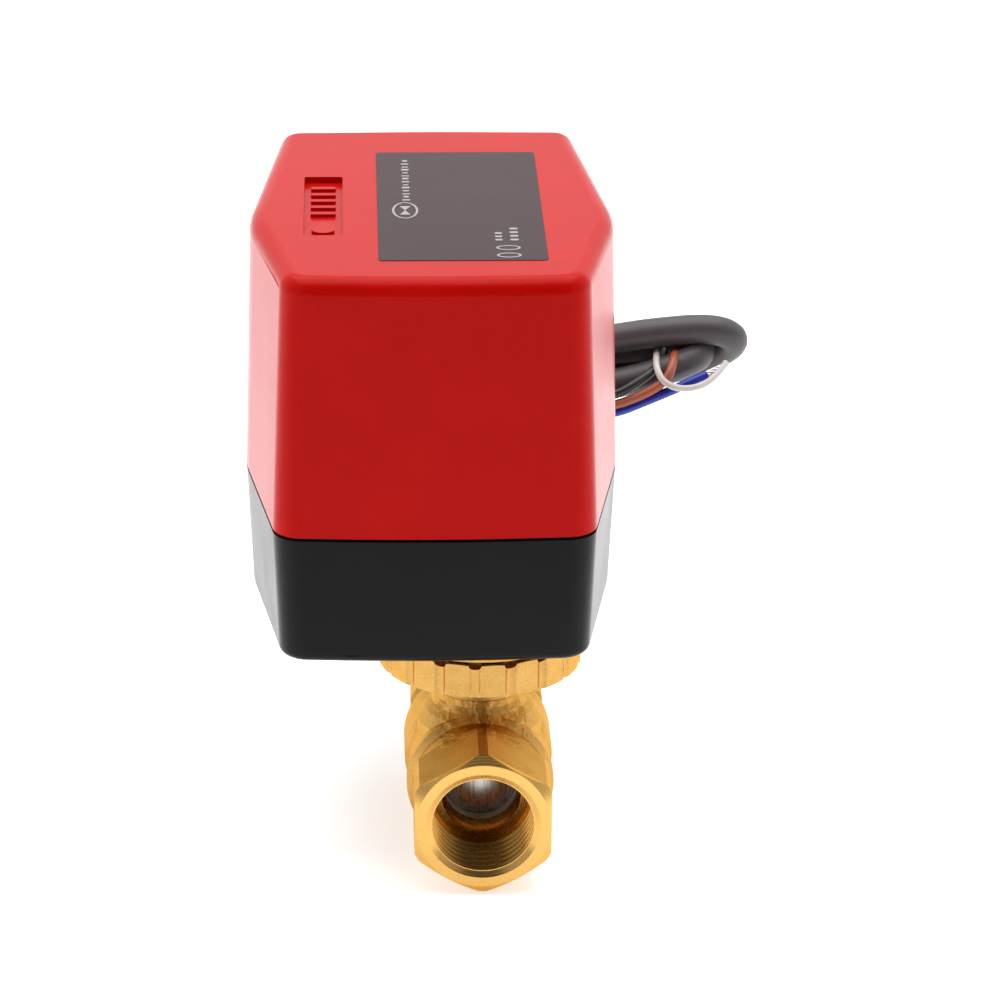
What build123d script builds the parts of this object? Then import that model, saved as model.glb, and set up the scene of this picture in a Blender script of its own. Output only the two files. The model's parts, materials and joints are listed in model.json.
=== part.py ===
from build123d import *
from math import acos, atan2, cos, pi, radians, sin, tan
import os

# Motor-driven two-way ball valve: a brass G1/2 valve with a red and black actuator on its neck.
# Millimetres. The origin is the middle of the front port's mouth, on its end face.
# +Y runs into the valve along the pipe, +Z goes up the stem, and +X is to the right.

os.makedirs("parts", exist_ok=True)

# Valve
VALVE_LENGTH = 54.0
STEM_Y = VALVE_LENGTH / 2
HEX_ACROSS_FLATS = 25.0
HEX_CORNER = HEX_ACROSS_FLATS / 2 / cos(pi / 6)
HEX_TURNED_R = 13.95
# both ports are G1/2; the rear one's minor diameter sits in the middle of its tolerance, 18.631 to 19.172
FRONT_CREST_R = 9.3155
REAR_CREST_R = 9.48
THREAD_ROOT_R = 10.4775
THREAD_PITCH = 1.814
THREAD_END = 13.0
MOUTH_R = 10.6
MOUTH_DEPTH = 0.65
MOUTH_SLOPE = (MOUTH_R - REAR_CREST_R - 0.15) / MOUTH_DEPTH
BORE_R = 6.8
CAVITY_R = 11.3
BODY_END = 40.0
SPIGOT_START = 37.4
BALL_R = 10.5
BALL_BORE_R = 6.6
SEAT_LINE_R = 8.0
SEAT_GAP = 0.06
NECK_R = 8.2
NECK_HEAD_R = 12.4
NECK_TOP = 26.2
STEM_R = 4.0
RUNNING_GAP = 0.05

# Union nut, which turns on the mounting collar's thread
NUT_R = 19.07
NUT_BOTTOM = 21.95
NUT_TOP = 28.6
NUT_FLUTES = 18
NUT_TURN = -94.4
NUT_NOTCH_R = 1.2
NUT_BORE_R = 15.8
LIP_TOP = 23.1
COLLAR_THREAD_R = 15.4
COLLAR_FACE = 28.8
COLLAR_R = 18.5
COLLAR_TOP = 35.6

# Housing: a six-sided box whose side corners sit a little ahead of its middle
HOUSING_X = -8.74
HOUSING_Y = 49.47
SIDE_CORNER_Y = 42.6
BASE_BOTTOM = 30.75
SEAM_LOW = 54.85
SEAM_HIGH = 55.45
COVER_TOP = 103.3
WALL = 2.5
RING_SEAT = BASE_BOTTOM + WALL + 0.05
# height: (half widths of the front face, the side corners and the back face, front Y, back Y)
HOUSING_LEVELS = {
    BASE_BOTTOM: (27.4, 33.75, 27.6, 5.37, 93.57),
    SEAM_LOW: (28.3, 34.85, 28.6, 4.67, 94.27),
    SEAM_HIGH: (28.3, 34.85, 28.6, 4.67, 94.27),
    COVER_TOP: (26.5, 33.6, 27.8, 7.0, 93.7),
}
FRONT_BULGE = 1.5
BACK_BULGE = 0.6
FACE_CURVE_R = 300.0
FRONT_CORNER_R = 5.5
BACK_CORNER_R = 4.0
SIDE_CORNER_R = 40.0
COVER_SCREWS = [(HOUSING_X + sx * 22.74, HOUSING_Y + sy * 38.47) for sx in (-1, 1) for sy in (-1, 1)]

# Drive train: motor pinion, idler and output gear, all on vertical axes
MODULE = 0.8
PRESSURE_ANGLE = radians(20)
WHEEL_TEETH = 40
PINION_TEETH = 16
TOOTH_TRIM = 0.10
CENTRE_DISTANCE = MODULE * (WHEEL_TEETH + PINION_TEETH) / 2
OUTPUT_AXIS = (0.0, STEM_Y)
IDLER_AXIS = (-6.0, STEM_Y + (CENTRE_DISTANCE**2 - 36.0) ** 0.5)
MOTOR_AXIS = (-17.0, IDLER_AXIS[1] + (CENTRE_DISTANCE**2 - 121.0) ** 0.5)
LOWER_PLATE = (37.5, 39.0)
UPPER_PLATE = (54.0, 55.5)
POSTS = [(-28.0, 33.0), (13.5, 43.0), (-28.5, 81.5), (11.0, 81.0)]
MOTOR_CENTRE = (-8.74, 62.5)
MOTOR_R = 24.5
MOTOR_BOTTOM = 56.3
MOTOR_TOP = 76.3
MOTOR_SCREWS = [(8.5, 62.5), (-28.0, 58.0)]

# Limit switches and the spiral cams that work them
CAM_LOW_R = 7.4
CAM_LIFT = 1.2
CAM_MARGIN = 5.0
CAM_THICKNESS = 4.0
CAM_HEIGHTS = {"closed": 58.0, "open": 64.5}
PLUNGER_GAP = 0.15
SWITCH_FACE_X = -10.6
SWITCH_DEPTH = 10.0
SWITCH_Y = (14.5, 34.5)
SWITCH_HEIGHT = 6.4
SWITCH_SCREW_Y = (19.5, 30.5)
TERMINAL_Y = (18.0, 25.0, 31.0)

# Control board
BOARD = (-31.0, 16.0, 30.0, 84.5)
BOARD_BOTTOM = 80.0
BOARD_TOP = 81.6

# Cable: sheath, cores, and its hank behind the housing
GLAND_X = -12.0
GLAND_Z = 41.0
GLAND_FACE = 94.9
GLAND_END = 101.0
CABLE_R = 3.1
CORE_R = 0.95
STRAND_R = 0.6
TIE_R = 0.7
LEAD_ROUTE = [(-12.0, 96.0, 41.0), (-12.0, 110.0, 41.0), (-8.6, 124.5, 39.3)]
STRANDS = {
    "top": (130.8, 45.4),
    "back": (135.4, 41.1),
    "front": (126.0, 36.4),
    "bottom": (134.4, 35.2),
    "end": (121.4, 31.2),
}
HANK_X = (-43.0, 60.0)
HANK_END_STRAND_X = 8.0
BLUE_ROUTE = [
    (8.1, 122.4, 30.6),
    (19.0, 121.2, 31.0),
    (30.0, 120.2, 33.6),
    (41.0, 120.1, 37.6),
    (49.0, 121.6, 41.2),
]
BROWN_ROUTE = [
    (8.1, 120.4, 30.6),
    (18.0, 119.8, 33.2),
    (30.0, 120.1, 36.2),
    (37.0, 120.2, 38.2),
    (41.5, 121.8, 41.0),
]
BLACK_ROUTE = [(8.1, 121.4, 32.4), (18.5, 120.0, 35.6), (31.0, 120.0, 38.6), (37.5, 121.8, 41.0)]
STRIPPED = {"blue": 4.5, "brown": 3.0, "black": 3.0}
TIE_X = 22.0
TIE_THICKNESS = 1.4
TIE_TAIL = [
    (22.8, 126.4, 45.4),
    (37.0, 126.4, 45.4),
    (40.5, 121.5, 44.6),
    (43.5, 118.9, 41.6),
    (48.5, 118.6, 39.4),
]

# Type label and the shallow panel on the cover
LABEL = (-18.7, 11.4, 16.8, 78.7)
LABEL_THICKNESS = 0.15
PANEL = (-32.1, -25.0, 30.9, 64.2)
PANEL_DEPTH = 1.2
RELIEF_HEIGHT = 0.6


def finish(piece, label):
    piece.part.label = label
    export_step(piece.part, f"parts/{label}.step")


def standing(x, y, z):
    """A level plane with its origin at that point."""
    return Plane(origin=(x, y, z), x_dir=(1, 0, 0), z_dir=(0, 0, 1))


def along_pipe(y):
    """A plane across the pipe at that distance, with local x along +X and local y down."""
    return Plane(origin=(0, y, 0), x_dir=(1, 0, 0), z_dir=(0, 1, 0))


def disc(x, y, low, high, radius, bore=0.0):
    """An upright round bar or ring, as a loose part."""
    with BuildPart() as bar:
        with BuildSketch(standing(x, y, low)):
            Circle(radius)
            if bore:
                Circle(bore, mode=Mode.SUBTRACT)
        extrude(amount=high - low)
    return bar.part


def block(x0, x1, y0, y1, z0, z1):
    """A plain box from its limits, as a loose part."""
    with BuildPart() as box:
        with BuildSketch(standing((x0 + x1) / 2, (y0 + y1) / 2, z0)):
            Rectangle(x1 - x0, y1 - y0)
        extrude(amount=z1 - z0)
    return box.part


def turned(*points, axis_y=STEM_Y):
    """A part turned about the upright axis at that y, from its (radius, height) profile."""
    plane = Plane(origin=(0, axis_y, 0), x_dir=(1, 0, 0), z_dir=(0, -1, 0))
    with BuildPart() as bar:
        with BuildSketch(plane):
            with BuildLine():
                Polyline(*points, close=True)
            make_face()
        revolve(axis=Axis((0, axis_y, 0), (0, 0, 1)))
    return bar.part


def pipe_turned(*points):
    """A part turned about the pipe's axis, from its (y, radius) profile."""
    with BuildPart() as bar:
        with BuildSketch(Plane.YZ):
            with BuildLine():
                Polyline(*points, close=True)
            make_face()
        revolve(axis=Axis.Y)
    return bar.part


def housing_outline(level, inset=0.0):
    """The housing's six-sided outline at a height, its front and back slightly bowed, drawn in by inset."""
    front, side, back, low, high = HOUSING_LEVELS[level]
    front, side, back = front - inset, side - inset, back - inset
    low, high = low + inset, high - inset
    corners = {
        (HOUSING_X - front, low): FRONT_CORNER_R,
        (HOUSING_X, low - FRONT_BULGE): FACE_CURVE_R,
        (HOUSING_X + front, low): FRONT_CORNER_R,
        (HOUSING_X + side, SIDE_CORNER_Y): SIDE_CORNER_R,
        (HOUSING_X + back, high): BACK_CORNER_R,
        (HOUSING_X, high + BACK_BULGE): FACE_CURVE_R,
        (HOUSING_X - back, high): BACK_CORNER_R,
        (HOUSING_X - side, SIDE_CORNER_Y): SIDE_CORNER_R,
    }
    with BuildSketch() as outline:
        with BuildLine():
            FilletPolyline(*corners, radius=[max(r - inset, 1.0) for r in corners.values()], close=True)
        make_face()
    return outline.sketch


def raised(sketch, height):
    return sketch.moved(Location((0, 0, height)))


def gear_outline(axis, z, teeth, first_tooth):
    """A spur gear's outline, with the middle of its first tooth at that angle."""
    pitch_r = MODULE * teeth / 2
    base_r = pitch_r * cos(PRESSURE_ANGLE)
    root_r = pitch_r - 1.25 * MODULE
    tip_r = pitch_r + 0.95 * MODULE
    half_tooth = pi / 2 / teeth - TOOTH_TRIM / 2 / pitch_r + tan(PRESSURE_ANGLE) - PRESSURE_ANGLE
    radii = [root_r] + [base_r + (tip_r - base_r) * share for share in (0.02, 0.2, 0.45, 0.7, 1.0)]

    def flank_angle(radius):
        roll = acos(min(1.0, base_r / radius))
        return half_tooth - (tan(roll) - roll)

    outline = []
    for tooth in range(teeth):
        middle = first_tooth + 2 * pi * tooth / teeth
        outline += [(r, middle - flank_angle(r)) for r in radii]
        outline += [(r, middle + flank_angle(r)) for r in reversed(radii)]
    with BuildSketch(standing(*axis, z)) as gear:
        with BuildLine():
            Polyline(*[(r * cos(angle), r * sin(angle)) for r, angle in outline], close=True)
        make_face()
    return gear.sketch


def direction(start, end):
    return atan2(end[1] - start[1], end[0] - start[0])


def route_radii(route):
    """The radius of each arc of a cord's route: 0.45 of the shorter run over the tangent of half the turn."""
    radii = []
    for before, corner, after in zip(route, route[1:], route[2:]):
        arriving, leaving = Vector(*corner) - Vector(*before), Vector(*after) - Vector(*corner)
        half_turn = radians(arriving.get_angle(leaving)) / 2
        radii.append(0.45 * min(arriving.length, leaving.length) / tan(half_turn))
    return radii


def tube(route, radius, name):
    """A round tube along a route of straight runs joined by tangent arcs."""
    radii = route_radii(route)
    with BuildPart() as cord:
        with BuildLine() as path:
            FilletPolyline(*route, radius=radii)
        start = Vector(*route[0])
        with BuildSketch(Plane(origin=start, z_dir=Vector(*route[1]) - start)):
            Circle(radius)
        sweep()
    length = sum(edge.length for edge in path.line.edges())
    print(name, "length", round(length, 1), "radii", [round(r, 1) for r in radii])
    print("   volume over section times length", round(cord.part.volume / (pi * radius**2 * length), 4))
    return cord.part


def wire(route, radius):
    """A thin wire along a route, as a loose part."""
    with BuildPart() as strand:
        with BuildLine():
            FilletPolyline(*route, radius=[min(r, 6.0) for r in route_radii(route)])
        with BuildSketch(Plane(origin=route[0], z_dir=Vector(*route[1]) - Vector(*route[0]))):
            Circle(radius)
        sweep()
    return strand.part


def ring_grooves(first, last, crest_radius):
    """The port thread's V grooves between two distances along the pipe, as rings of the real pitch."""
    count = int((last - first) / THREAD_PITCH)
    crest = THREAD_PITCH / 6
    grooves = []
    for turn in range(count):
        start = first + turn * THREAD_PITCH + crest / 2
        end = start + THREAD_PITCH - crest
        middle = (start + end) / 2
        inner = crest_radius - 0.2
        grooves.append(
            pipe_turned(
                (start, inner),
                (start, crest_radius),
                (middle - crest / 2, THREAD_ROOT_R),
                (middle + crest / 2, THREAD_ROOT_R),
                (end, crest_radius),
                (end, inner),
            )
        )
    return grooves


# ---------------------------------------------------------------- valve

with BuildPart() as hex_end:
    with BuildSketch(along_pipe(0)):
        RegularPolygon(HEX_CORNER, 6, rotation=30)
    extrude(amount=13.5)
    add(
        pipe_turned((0, 0), (0, 12.3), (1.3, HEX_TURNED_R), (12.4, HEX_TURNED_R), (13.5, 12.5), (13.5, 0)),
        mode=Mode.INTERSECT,
    )

with BuildPart() as valve_body:
    add(hex_end.part)
    add(
        pipe_turned(
            (13.0, 0),
            (13.0, 12.1),
            (14.0, 12.6),
            (17.2, 12.6),
            (18.4, 13.7),
            (20.2, 13.7),
            (21.4, 13.2),
            (28.6, 13.2),
            (29.9, 13.9),
            (39.4, 13.9),
            (BODY_END, 13.3),
            (BODY_END, 0),
        )
    )
    add(
        turned(
            (0, 6.0),
            (11.6, 6.0),
            (11.6, 10.0),
            (10.2, 12.2),
            (9.0, 13.6),
            (8.4, 15.0),
            (NECK_R, 16.3),
            (8.6, 16.45),
            (8.8, 16.7),
            (8.8, 21.3),
            (11.9, 21.5),
            (NECK_HEAD_R, 22.0),
            (NECK_HEAD_R, 23.95),
            (11.7, 23.95),
            (11.7, 25.05),
            (NECK_HEAD_R, 25.05),
            (NECK_HEAD_R, 25.8),
            (12.0, NECK_TOP),
            (0, NECK_TOP),
        )
    )
    # port thread, seat pocket, ball cavity and the thread for the end connector
    add(
        pipe_turned(
            (-1, 0),
            (-1, MOUTH_R + MOUTH_SLOPE),
            (MOUTH_DEPTH, FRONT_CREST_R + 0.15),
            (MOUTH_DEPTH, FRONT_CREST_R),
            (THREAD_END, FRONT_CREST_R),
            (THREAD_END, BORE_R + 0.5),
            (THREAD_END + 0.5, BORE_R),
            (16.6, BORE_R),
            (16.6, CAVITY_R),
            (36.8, CAVITY_R),
            (36.8, 12.2),
            (BODY_END + 1, 12.2),
            (BODY_END + 1, 0),
        ),
        mode=Mode.SUBTRACT,
    )
    add(ring_grooves(0.8, THREAD_END, FRONT_CREST_R), mode=Mode.SUBTRACT)
    add(turned((0, 8), (5.8, 8), (5.8, 12.6), (STEM_R + RUNNING_GAP, 12.6), (STEM_R + RUNNING_GAP, 30), (0, 30)),
        mode=Mode.SUBTRACT)
finish(valve_body, "valve_body")

with BuildPart() as end_connector:
    with BuildSketch(along_pipe(VALVE_LENGTH - 13.0)):
        RegularPolygon(HEX_CORNER, 6, rotation=30)
    extrude(amount=13.0)
    add(
        pipe_turned(
            (VALVE_LENGTH - 13.0, 0),
            (VALVE_LENGTH - 13.0, 12.5),
            (VALVE_LENGTH - 11.9, HEX_TURNED_R),
            (VALVE_LENGTH - 1.3, HEX_TURNED_R),
            (VALVE_LENGTH, 12.3),
            (VALVE_LENGTH, 0),
        ),
        mode=Mode.INTERSECT,
    )
    add(pipe_turned((SPIGOT_START, 0), (SPIGOT_START, 12.15), (BODY_END, 12.15), (BODY_END, 12.6),
                    (VALVE_LENGTH - 12.5, 12.6), (VALVE_LENGTH - 12.5, 0)))
    add(
        pipe_turned(
            (SPIGOT_START - 1, 0),
            (SPIGOT_START - 1, BORE_R),
            (VALVE_LENGTH - THREAD_END - 0.5, BORE_R),
            (VALVE_LENGTH - THREAD_END, BORE_R + 0.5),
            (VALVE_LENGTH - THREAD_END, REAR_CREST_R),
            (VALVE_LENGTH - MOUTH_DEPTH, REAR_CREST_R),
            (VALVE_LENGTH - MOUTH_DEPTH, REAR_CREST_R + 0.15),
            (VALVE_LENGTH + 1, MOUTH_R + MOUTH_SLOPE),
            (VALVE_LENGTH + 1, 0),
        ),
        mode=Mode.SUBTRACT,
    )
    add(ring_grooves(VALVE_LENGTH - THREAD_END + 0.2, VALVE_LENGTH - 0.8, REAR_CREST_R), mode=Mode.SUBTRACT)
finish(end_connector, "end_connector")

with BuildPart() as body_seal:
    add(pipe_turned((36.8, 11.3), (36.8, 12.15), (SPIGOT_START, 12.15), (SPIGOT_START, 11.3)))
finish(body_seal, "body_seal")

with BuildPart() as ball:
    with BuildSketch(Plane(origin=(0, STEM_Y, 0), x_dir=(1, 0, 0), z_dir=(0, -1, 0))):
        with BuildLine():
            Line((0, -BALL_R), (0, BALL_R))
            RadiusArc((0, BALL_R), (0, -BALL_R), BALL_R)
        make_face()
    revolve(axis=Axis((0, STEM_Y, 0), (0, 0, 1)))
    with BuildSketch(Plane(origin=(-BALL_R, STEM_Y, 0), x_dir=(0, 1, 0), z_dir=(1, 0, 0))):
        Circle(BALL_BORE_R)
    extrude(amount=2 * BALL_R, mode=Mode.SUBTRACT)
    add(block(-2.0, 2.0, STEM_Y - 9, STEM_Y + 9, 7.5, 12), mode=Mode.SUBTRACT)
finish(ball, "ball")

seat_y = (BALL_R**2 - SEAT_LINE_R**2) ** 0.5
for label, way, back in (("front_seat", -1, 16.6), ("rear_seat", 1, SPIGOT_START)):
    face = STEM_Y + way * (seat_y - 0.6)
    with BuildPart() as seat:
        add(pipe_turned((back, BORE_R + 0.1), (back, 10.7), (face, 10.7), (face, BORE_R + 0.1)))
        with Locations((0, STEM_Y, 0)):
            Sphere(BALL_R + SEAT_GAP, mode=Mode.SUBTRACT)
    finish(seat, label)

with BuildPart() as stem:
    add(
        turned(
            (0, 10.7),
            (5.5, 10.7),
            (5.5, 12.0),
            (STEM_R, 12.0),
            (STEM_R, 14.5),
            (2.8, 14.5),
            (2.8, 15.9),
            (STEM_R, 15.9),
            (STEM_R, 18.5),
            (2.8, 18.5),
            (2.8, 19.9),
            (STEM_R, 19.9),
            (STEM_R, NECK_TOP),
            (0, NECK_TOP),
        )
    )
    add(block(-1.9, 1.9, STEM_Y - 4.4, STEM_Y + 4.4, 7.6, 11.0))
    add(block(-2.5, 2.5, STEM_Y - 2.5, STEM_Y + 2.5, NECK_TOP - 0.2, 31.0))
finish(stem, "stem")

with BuildPart() as stem_washer:
    add(disc(0, STEM_Y, 12.05, 12.6, 5.7, STEM_R + RUNNING_GAP))
finish(stem_washer, "stem_washer")

with BuildPart() as stem_o_rings:
    with Locations((0, STEM_Y, 15.2), (0, STEM_Y, 19.2)):
        Torus(3.42, 0.6)
finish(stem_o_rings, "stem_o_rings")

# ---------------------------------------------------------------- union

with BuildPart() as neck_snap_ring:
    add(disc(0, STEM_Y, 24.0, 25.0, 14.2, 11.75))
    add(block(-1.5, 1.5, STEM_Y + 9, STEM_Y + 16, 23.5, 25.5), mode=Mode.SUBTRACT)
finish(neck_snap_ring, "neck_snap_ring")

with BuildPart() as nut_washer:
    add(disc(0, STEM_Y, LIP_TOP, LIP_TOP + 0.6, 15.2, 12.7))
finish(nut_washer, "nut_washer")

with BuildPart() as union_nut:
    with BuildSketch(standing(0, STEM_Y, NUT_BOTTOM)) as nut_outline:
        RegularPolygon(NUT_R, NUT_FLUTES, rotation=NUT_TURN)
        with PolarLocations(NUT_R + 0.5, NUT_FLUTES, start_angle=NUT_TURN):
            Circle(1.25, mode=Mode.SUBTRACT)
        fillet(nut_outline.vertices(), 0.35)
    extrude(amount=NUT_TOP - NUT_BOTTOM)
    add(
        turned(
            (0, NUT_BOTTOM),
            (NUT_R - 0.5, NUT_BOTTOM),
            (NUT_R + 0.1, NUT_BOTTOM + 0.4),
            (NUT_R + 0.1, NUT_TOP - 0.4),
            (NUT_R - 0.5, NUT_TOP),
            (0, NUT_TOP),
        ),
        mode=Mode.INTERSECT,
    )
    add(
        turned(
            (0, NUT_BOTTOM - 1),
            (12.7, NUT_BOTTOM - 1),
            (12.7, LIP_TOP),
            (NUT_BORE_R, LIP_TOP),
            (NUT_BORE_R, NUT_TOP - 0.8),
            (NUT_BORE_R + 0.8, NUT_TOP),
            (NUT_BORE_R + 0.8, NUT_TOP + 1),
            (0, NUT_TOP + 1),
        ),
        mode=Mode.SUBTRACT,
    )
    with Locations(standing(0, STEM_Y, NUT_TOP)):
        with PolarLocations(NUT_R, NUT_FLUTES, start_angle=NUT_TURN):
            Cylinder(NUT_NOTCH_R, 5.0, rotation=(0, 90, 0), mode=Mode.SUBTRACT)
finish(union_nut, "union_nut")

with BuildPart() as mounting_collar:
    grooves = []
    for turn in range(2):
        low = 26.9 + turn
        grooves += [
            (COLLAR_THREAD_R, low),
            (COLLAR_THREAD_R - 0.5, low + 0.4),
            (COLLAR_THREAD_R, low + 0.8),
        ]
    add(
        turned(
            (7.0 + RUNNING_GAP, NECK_TOP),
            (COLLAR_THREAD_R - 0.4, NECK_TOP),
            (COLLAR_THREAD_R, NECK_TOP + 0.4),
            *grooves,
            (COLLAR_THREAD_R, COLLAR_FACE),
            (COLLAR_R - 0.2, COLLAR_FACE),
            (COLLAR_R, COLLAR_FACE + 0.2),
            (COLLAR_R, BASE_BOTTOM),
            (12.0, BASE_BOTTOM),
            (12.0, RING_SEAT),
            (11.2, RING_SEAT),
            (11.2, RING_SEAT + 1.05),
            (12.0, RING_SEAT + 1.05),
            (12.0, COLLAR_TOP),
            (7.0 + RUNNING_GAP, COLLAR_TOP),
        )
    )
finish(mounting_collar, "mounting_collar")

with BuildPart() as collar_ring:
    add(disc(0, STEM_Y, RING_SEAT + 0.02, RING_SEAT + 1.02, 14.0, 11.25))
    add(block(-1.5, 1.5, STEM_Y + 8, STEM_Y + 16, RING_SEAT - 1, RING_SEAT + 2), mode=Mode.SUBTRACT)
finish(collar_ring, "collar_ring")

# ---------------------------------------------------------------- housing

with BuildPart() as base:
    loft([raised(housing_outline(z), z) for z in (BASE_BOTTOM, SEAM_LOW)], ruled=True)
    fillet(base.faces().sort_by(Axis.Z)[0].edges(), 1.7)
    inner_low = raised(housing_outline(BASE_BOTTOM, WALL), BASE_BOTTOM + WALL)
    inner_high = raised(housing_outline(SEAM_LOW, WALL), SEAM_LOW + 0.001)
    loft([inner_low, inner_high], ruled=True, mode=Mode.SUBTRACT)
    # posts for the cover screws, seats for the gear plate, and a flat seat for the cable gland
    for x, y in COVER_SCREWS:
        add(disc(x, y, BASE_BOTTOM + 1, SEAM_LOW, 3.0))
    for x, y in POSTS:
        add(disc(x, y, BASE_BOTTOM + 1, LOWER_PLATE[0], 3.0))
    with BuildSketch(Plane(origin=(GLAND_X, 91.0, GLAND_Z), x_dir=(1, 0, 0), z_dir=(0, 1, 0))):
        Circle(8.4)
    extrude(amount=GLAND_FACE - 91.0)
    for x, y in COVER_SCREWS:
        add(disc(x, y, BASE_BOTTOM - 1, SEAM_LOW + 1, 1.6), mode=Mode.SUBTRACT)
        add(disc(x, y, BASE_BOTTOM - 1, BASE_BOTTOM + 2.2, 2.9), mode=Mode.SUBTRACT)
    for x, y in POSTS:
        add(disc(x, y, BASE_BOTTOM + 3, LOWER_PLATE[0] + 1, 1.25), mode=Mode.SUBTRACT)
    with BuildSketch(Plane(origin=(GLAND_X, 88.0, GLAND_Z), x_dir=(1, 0, 0), z_dir=(0, 1, 0))):
        Circle(5.1)
    extrude(amount=10, mode=Mode.SUBTRACT)
    add(disc(0, STEM_Y, BASE_BOTTOM - 1, BASE_BOTTOM + WALL + 1, 12.05), mode=Mode.SUBTRACT)
finish(base, "base")

with BuildPart() as cover:
    loft([raised(housing_outline(z), z) for z in (SEAM_HIGH, COVER_TOP)], ruled=True)
    fillet(cover.faces().sort_by(Axis.Z)[-1].edges(), 3.0)
    inner_low = raised(housing_outline(SEAM_HIGH, WALL), SEAM_HIGH - 0.001)
    inner_high = raised(housing_outline(COVER_TOP, WALL), COVER_TOP - WALL)
    loft([inner_low, inner_high], ruled=True, mode=Mode.SUBTRACT)
    for x, y in COVER_SCREWS:
        add(disc(x, y, SEAM_HIGH, COVER_TOP - WALL + 0.5, 2.9))
        add(disc(x, y, SEAM_HIGH - 1, 72.0, 1.45), mode=Mode.SUBTRACT)
    # shallow panel with a raised drop over a row of bars
    panel_x, panel_y = (PANEL[0] + PANEL[1]) / 2, (PANEL[2] + PANEL[3]) / 2
    with BuildSketch(standing(panel_x, panel_y, COVER_TOP - PANEL_DEPTH)):
        RectangleRounded(PANEL[1] - PANEL[0], PANEL[3] - PANEL[2], 0.5)
    extrude(amount=PANEL_DEPTH + 1, mode=Mode.SUBTRACT)
    with BuildSketch(standing(panel_x, panel_y, COVER_TOP - PANEL_DEPTH)):
        with Locations((0, -11.5)):
            Circle(2.1)
        with BuildLine():
            Line((-1.75, -10.3), (0, -6.4))
            Line((0, -6.4), (1.75, -10.3))
            Line((1.75, -10.3), (-1.75, -10.3))
        make_face()
        for step in range(5):
            with Locations((0, -2.5 + 3.6 * step)):
                RectangleRounded(4.6, 1.3, 0.4)
    extrude(amount=RELIEF_HEIGHT)
finish(cover, "cover")

with BuildPart() as housing_gasket:
    with BuildSketch(Plane.XY.offset(SEAM_LOW)):
        add(housing_outline(SEAM_LOW, 0.9))
        add(housing_outline(SEAM_LOW, WALL), mode=Mode.SUBTRACT)
    extrude(amount=SEAM_HIGH - SEAM_LOW)
    for x, y in COVER_SCREWS:
        add(disc(x, y, SEAM_LOW - 1, SEAM_HIGH + 1, 1.7), mode=Mode.SUBTRACT)
finish(housing_gasket, "housing_gasket")

with BuildPart() as cover_screws:
    for x, y in COVER_SCREWS:
        add(disc(x, y, BASE_BOTTOM + 0.4, BASE_BOTTOM + 2.2, 2.7))
        add(disc(x, y, BASE_BOTTOM + 2.0, 70.0, 1.4))
        add(block(x - 1.7, x + 1.7, y - 0.3, y + 0.3, BASE_BOTTOM, BASE_BOTTOM + 1.2), mode=Mode.SUBTRACT)
        add(block(x - 0.3, x + 0.3, y - 1.7, y + 1.7, BASE_BOTTOM, BASE_BOTTOM + 1.2), mode=Mode.SUBTRACT)
finish(cover_screws, "cover_screws")

with BuildPart() as type_label:
    with BuildSketch(standing((LABEL[0] + LABEL[1]) / 2, (LABEL[2] + LABEL[3]) / 2, COVER_TOP)):
        RectangleRounded(LABEL[1] - LABEL[0], LABEL[3] - LABEL[2], 0.8)
    extrude(amount=LABEL_THICKNESS)
finish(type_label, "type_label")

# ---------------------------------------------------------------- gear frame

with BuildPart() as lower_gear_plate:
    with BuildSketch(Plane.XY.offset(LOWER_PLATE[0])):
        with BuildLine():
            Polyline((-33, 24), (-20, 14), (6, 14), (17, 36), (17, 72), (14, 84.5), (-31, 84.5), (-33, 72), close=True)
        make_face()
        with Locations(OUTPUT_AXIS):
            Circle(6.2, mode=Mode.SUBTRACT)
        with Locations(IDLER_AXIS):
            Circle(1.5, mode=Mode.SUBTRACT)
        with Locations(*POSTS):
            Circle(1.25, mode=Mode.SUBTRACT)
    extrude(amount=LOWER_PLATE[1] - LOWER_PLATE[0])
finish(lower_gear_plate, "lower_gear_plate")

with BuildPart() as upper_gear_plate:
    with BuildSketch(Plane.XY.offset(UPPER_PLATE[0])):
        with BuildLine():
            Polyline((-33, 22), (-25, 12), (6, 12), (17, 32), (17, 72), (14, 83.5), (-31, 83.5), (-33, 72), close=True)
        make_face()
        with Locations(OUTPUT_AXIS):
            Circle(7.0, mode=Mode.SUBTRACT)
        with Locations(IDLER_AXIS):
            Circle(1.5, mode=Mode.SUBTRACT)
        with Locations(MOTOR_AXIS):
            Circle(3.2, mode=Mode.SUBTRACT)
        with Locations(*POSTS, *MOTOR_SCREWS):
            Circle(1.25, mode=Mode.SUBTRACT)
    extrude(amount=UPPER_PLATE[1] - UPPER_PLATE[0])
finish(upper_gear_plate, "upper_gear_plate")

with BuildPart() as frame_posts:
    for x, y in POSTS:
        add(disc(x, y, LOWER_PLATE[1], UPPER_PLATE[0], 2.3))
        add(disc(x, y, 34.8, LOWER_PLATE[1] + 0.5, 1.2))
        add(disc(x, y, 44.0, UPPER_PLATE[0] + 1, 1.25), mode=Mode.SUBTRACT)
finish(frame_posts, "frame_posts")

with BuildPart() as board_posts:
    for x, y in POSTS:
        add(disc(x, y, UPPER_PLATE[1], BOARD_BOTTOM, 2.3))
        add(disc(x, y, 47.0, UPPER_PLATE[1] + 0.5, 1.2))
        add(disc(x, y, 72.0, BOARD_BOTTOM + 1, 1.25), mode=Mode.SUBTRACT)
finish(board_posts, "board_posts")

with BuildPart() as shaft_bush:
    add(turned((5.0 + RUNNING_GAP, 53.2), (8.5, 53.2), (8.5, 54.0), (7.0, 54.0), (7.0, 56.0),
               (5.0 + RUNNING_GAP, 56.0)))
finish(shaft_bush, "shaft_bush")

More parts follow.
